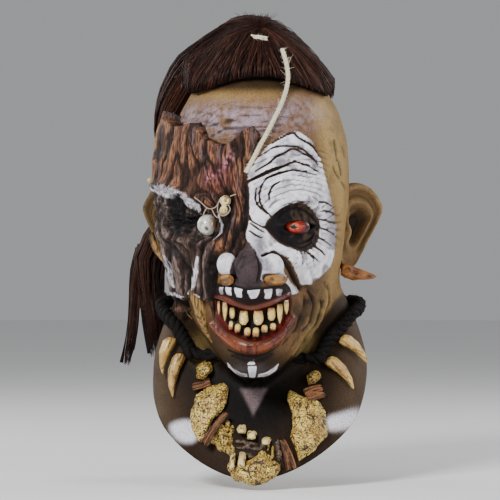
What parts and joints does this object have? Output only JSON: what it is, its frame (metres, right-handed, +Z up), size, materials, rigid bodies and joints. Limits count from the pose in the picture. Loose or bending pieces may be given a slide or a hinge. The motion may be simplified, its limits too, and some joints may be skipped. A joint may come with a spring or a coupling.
{
  "type": "voodoo mask",
  "caption": "Pull-over latex costume mask: snarling face half grown over with bark, hanging eye, crest of hair with a long tail, bone and tusk necklace on a chest bib.",
  "frame": {"origin": "inside of the crown, where the mask bears on the wearer's head", "axes": "+Z up through the crown, the face looks along -Y, +X to the right as the face is seen"},
  "size_m": [0.2515, 0.2568, 0.4274],
  "materials": {
    "latex": "moulded latex, wrinkled, airbrushed olive and brown with white warpaint",
    "bark": "moulded as coarse bark, red-brown dry brushed over black",
    "red_eye": "wet gloss, red and orange with a black pupil",
    "white_eye": "glossy, grey white with brown stains",
    "tooth": "glossy, ivory with brown roots",
    "bone": "pitted yellow bone with a dark brown wash",
    "hair": "long combed synthetic hair, very dark brown",
    "jute": "frayed jute",
    "rope": "coarse twisted rope, dyed near black",
    "leather": "rough red-brown strips with raised fibres"
  },
  "bodies": {
    "root": {"latex_mask": "latex", "bark_plate": "bark", "red_eye": "red_eye", "hanging_eyeball": "white_eye", "upper_tooth_1": "tooth", "upper_tooth_2": "tooth", "upper_tooth_3": "tooth", "upper_tooth_4": "tooth", "upper_tooth_5": "tooth", "upper_tooth_6": "tooth", "upper_tooth_7": "tooth", "upper_tooth_8": "tooth", "lower_tooth_1": "tooth", "lower_tooth_2": "tooth", "lower_tooth_3": "tooth", "lower_tooth_4": "tooth", "lower_tooth_5": "tooth", "lower_tooth_6": "tooth", "nose_bone_left": "bone", "nose_bone_right": "bone", "ear_bone": "bone", "brow_bead": "bone", "temple_bead": "bone", "hair_crest": "hair", "hair_tail": "hair", "crest_tie": "jute", "forehead_twine": "jute", "necklace_rope": "rope", "tusk_1": "bone", "tusk_2": "bone", "tusk_3": "bone", "tusk_4": "bone", "left_knuckle": "bone", "right_knuckle": "bone", "left_bone": "bone", "right_bone": "bone", "jaw_bone": "bone", "jaw_stub": "bone", "jaw_tooth_1": "bone", "jaw_tooth_2": "bone", "jaw_tooth_3": "bone", "jaw_tooth_4": "bone", "jaw_tooth_5": "bone", "leather_wrap_1": "leather", "leather_wrap_2": "leather", "leather_wrap_3": "leather", "leather_wrap_4": "leather"}
  },
  "joints": []
}
